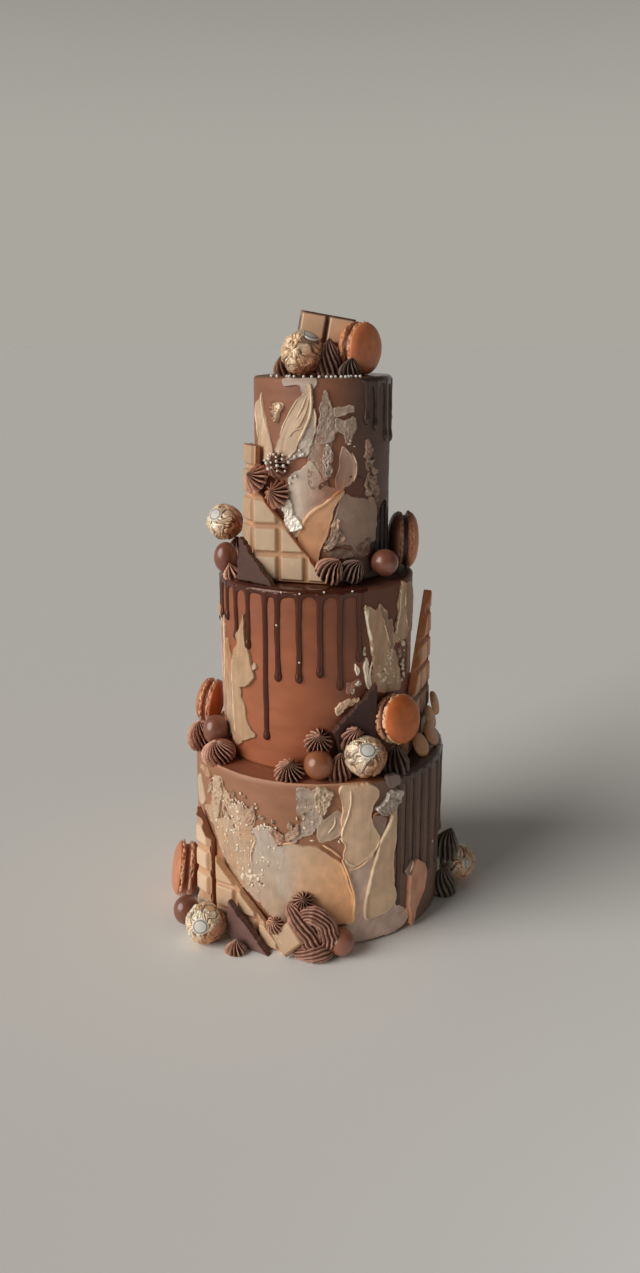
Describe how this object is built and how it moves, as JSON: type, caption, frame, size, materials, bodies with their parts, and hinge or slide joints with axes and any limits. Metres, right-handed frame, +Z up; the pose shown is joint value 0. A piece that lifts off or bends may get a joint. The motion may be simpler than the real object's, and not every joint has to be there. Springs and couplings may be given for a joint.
{
  "type": "drip cake",
  "caption": "Tiered drip cake with ganache drips, palette-knife frosting, chocolate bar pieces, macarons, wrapped chocolates and piped rosettes",
  "frame": {"origin": "centre of the bottom tier's underside, on the plane the cake stands on", "axes": "+Z up through the tiers, -Y toward the decorated front, +X to the right as seen from the front"},
  "size_m": [0.2771, 0.2449, 0.5068],
  "materials": {
    "frosting": "satin buttercream",
    "piped_ganache": "satin piped chocolate ganache",
    "dark_chocolate": "satin",
    "milk_chocolate": "gloss",
    "caramel_chocolate": "satin",
    "gold_foil": "crumpled foil",
    "macaron_shell": "satin, baked"
  },
  "bodies": {
    "root": {"ball_base_front": "milk_chocolate", "ball_base_left": "milk_chocolate", "ball_low_front": "milk_chocolate", "ball_low_left": "milk_chocolate", "ball_middle_left": "milk_chocolate", "ball_middle_right": "milk_chocolate", "bar_base_tall": "caramel_chocolate", "bar_base_triangle": "caramel_chocolate", "bar_low_right": "caramel_chocolate", "bar_middle_tall": "caramel_chocolate", "bar_middle_triangle": "caramel_chocolate", "bar_top": "caramel_chocolate", "button_1": "caramel_chocolate", "button_2": "caramel_chocolate", "button_3": "caramel_chocolate", "button_4": "caramel_chocolate", "macaron_base_left": "macaron_shell", "macaron_low_back": "macaron_shell", "macaron_low_left": "macaron_shell", "macaron_low_right": "macaron_shell", "macaron_middle_right": "macaron_shell", "macaron_top": "macaron_shell", "rosette_base_back": "piped_ganache", "rosette_base_pearled": "piped_ganache", "rosette_base_right": "piped_ganache", "rosette_base_small": "piped_ganache", "rosette_low_front": "piped_ganache", "rosette_low_inner": "piped_ganache", "rosette_low_left_inner": "piped_ganache", "rosette_low_left_outer": "piped_ganache", "rosette_low_middle": "piped_ganache", "rosette_low_right": "piped_ganache", "rosette_low_upper": "piped_ganache", "rosette_middle_front_left": "piped_ganache", "rosette_middle_front_right": "piped_ganache", "rosette_middle_ledge": "piped_ganache", "rosette_middle_lower": "piped_ganache", "rosette_middle_pearled": "piped_ganache", "rosette_middle_under": "piped_ganache", "rosette_middle_upper": "piped_ganache", "rosette_piping_foot": "piped_ganache", "rosette_piping_left": "piped_ganache", "rosette_piping_right": "piped_ganache", "rosette_piping_star": "piped_ganache", "rosette_top_left": "piped_ganache", "rosette_top_middle": "piped_ganache", "rosette_top_right": "piped_ganache", "shard_base": "dark_chocolate", "shard_low": "dark_chocolate", "shard_middle": "dark_chocolate", "square_base": "caramel_chocolate", "tier_bottom": "frosting", "tier_middle": "frosting", "tier_top": "frosting", "wrapped_base_left": "gold_foil", "wrapped_base_right": "gold_foil", "wrapped_low": "gold_foil", "wrapped_middle": "gold_foil", "wrapped_top": "gold_foil"}
  },
  "joints": []
}
